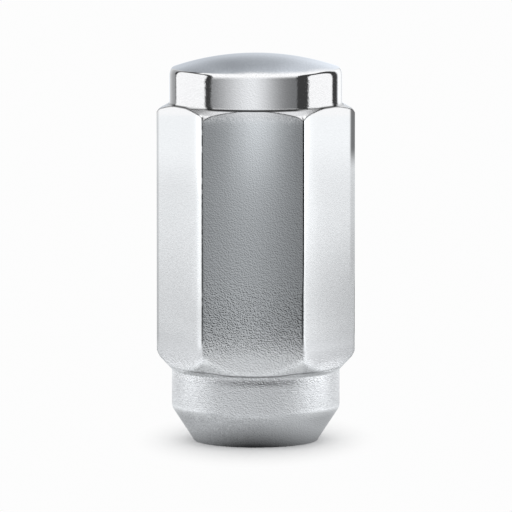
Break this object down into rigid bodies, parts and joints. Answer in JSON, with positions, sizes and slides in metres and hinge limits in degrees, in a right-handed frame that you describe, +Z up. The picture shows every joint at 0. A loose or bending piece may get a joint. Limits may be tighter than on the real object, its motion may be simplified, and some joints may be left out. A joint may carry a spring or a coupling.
{
  "type": "lug nut",
  "caption": "Tall closed-end lug nut: conical seat, round collar, hexagonal body with a chamfered shoulder and domed crown, drilled blind from the foot for a wheel stud.",
  "frame": {"origin": "centre of the foot, the flat ring at the small end of the conical seat", "axes": "+Z up the nut's axis from the foot to the domed crown; two flats of the hexagon face -Y and +Y, and two corners lie on the X axis"},
  "size_m": [0.024, 0.021, 0.0472],
  "materials": {
    "plated_steel": "satin"
  },
  "bodies": {
    "root": {"lug_nut": "plated_steel"}
  },
  "joints": []
}
